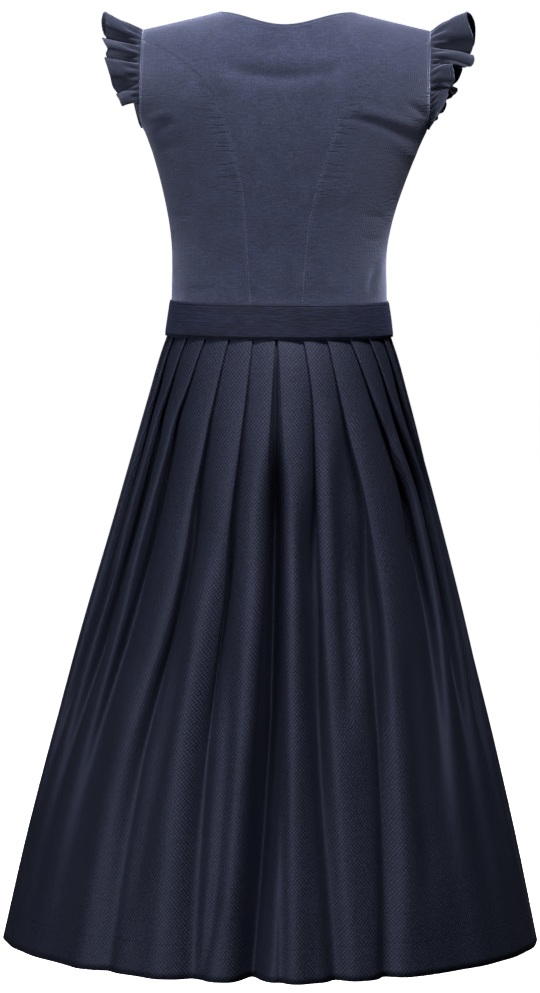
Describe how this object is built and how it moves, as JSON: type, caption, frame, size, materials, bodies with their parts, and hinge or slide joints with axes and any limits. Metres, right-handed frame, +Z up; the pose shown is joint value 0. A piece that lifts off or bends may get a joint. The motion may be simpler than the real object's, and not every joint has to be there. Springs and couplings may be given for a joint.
{
  "type": "dirndl dress",
  "caption": "Sleeveless folk dress in its worn hollow form: fitted panelled bodice, gathered cap frills, waistband and long knife-pleated skirt.",
  "frame": {"origin": "midway between the two neck points, on the line of the shoulders, where the wearer's shoulders carry the dress", "axes": "+Z up, +X towards the wearer's left, +Y towards the back, so the front faces -Y"},
  "size_m": [0.6358, 0.5274, 1.112],
  "materials": {
    "corduroy": "fine-wale cotton corduroy, slate blue, soft nap",
    "band_cloth": "slubbed navy cloth with a low sheen",
    "skirt_cloth": "dark navy cloth with a tiny woven lozenge figure and a satin sheen",
    "buttons": "aged grey metal, plain dome"
  },
  "bodies": {
    "root": {"back_centre": "corduroy", "side_back_left": "corduroy", "side_back_right": "corduroy", "front_left": "corduroy", "front_right": "corduroy", "side_front_left": "corduroy", "side_front_right": "corduroy", "ruffle_left": "corduroy", "ruffle_right": "corduroy", "waistband": "band_cloth", "skirt_back": "skirt_cloth", "skirt_front": "skirt_cloth", "button_1": "buttons", "button_2": "buttons", "button_3": "buttons", "button_4": "buttons", "button_5": "buttons", "button_6": "buttons", "button_7": "buttons", "band_button": "buttons"}
  },
  "joints": []
}
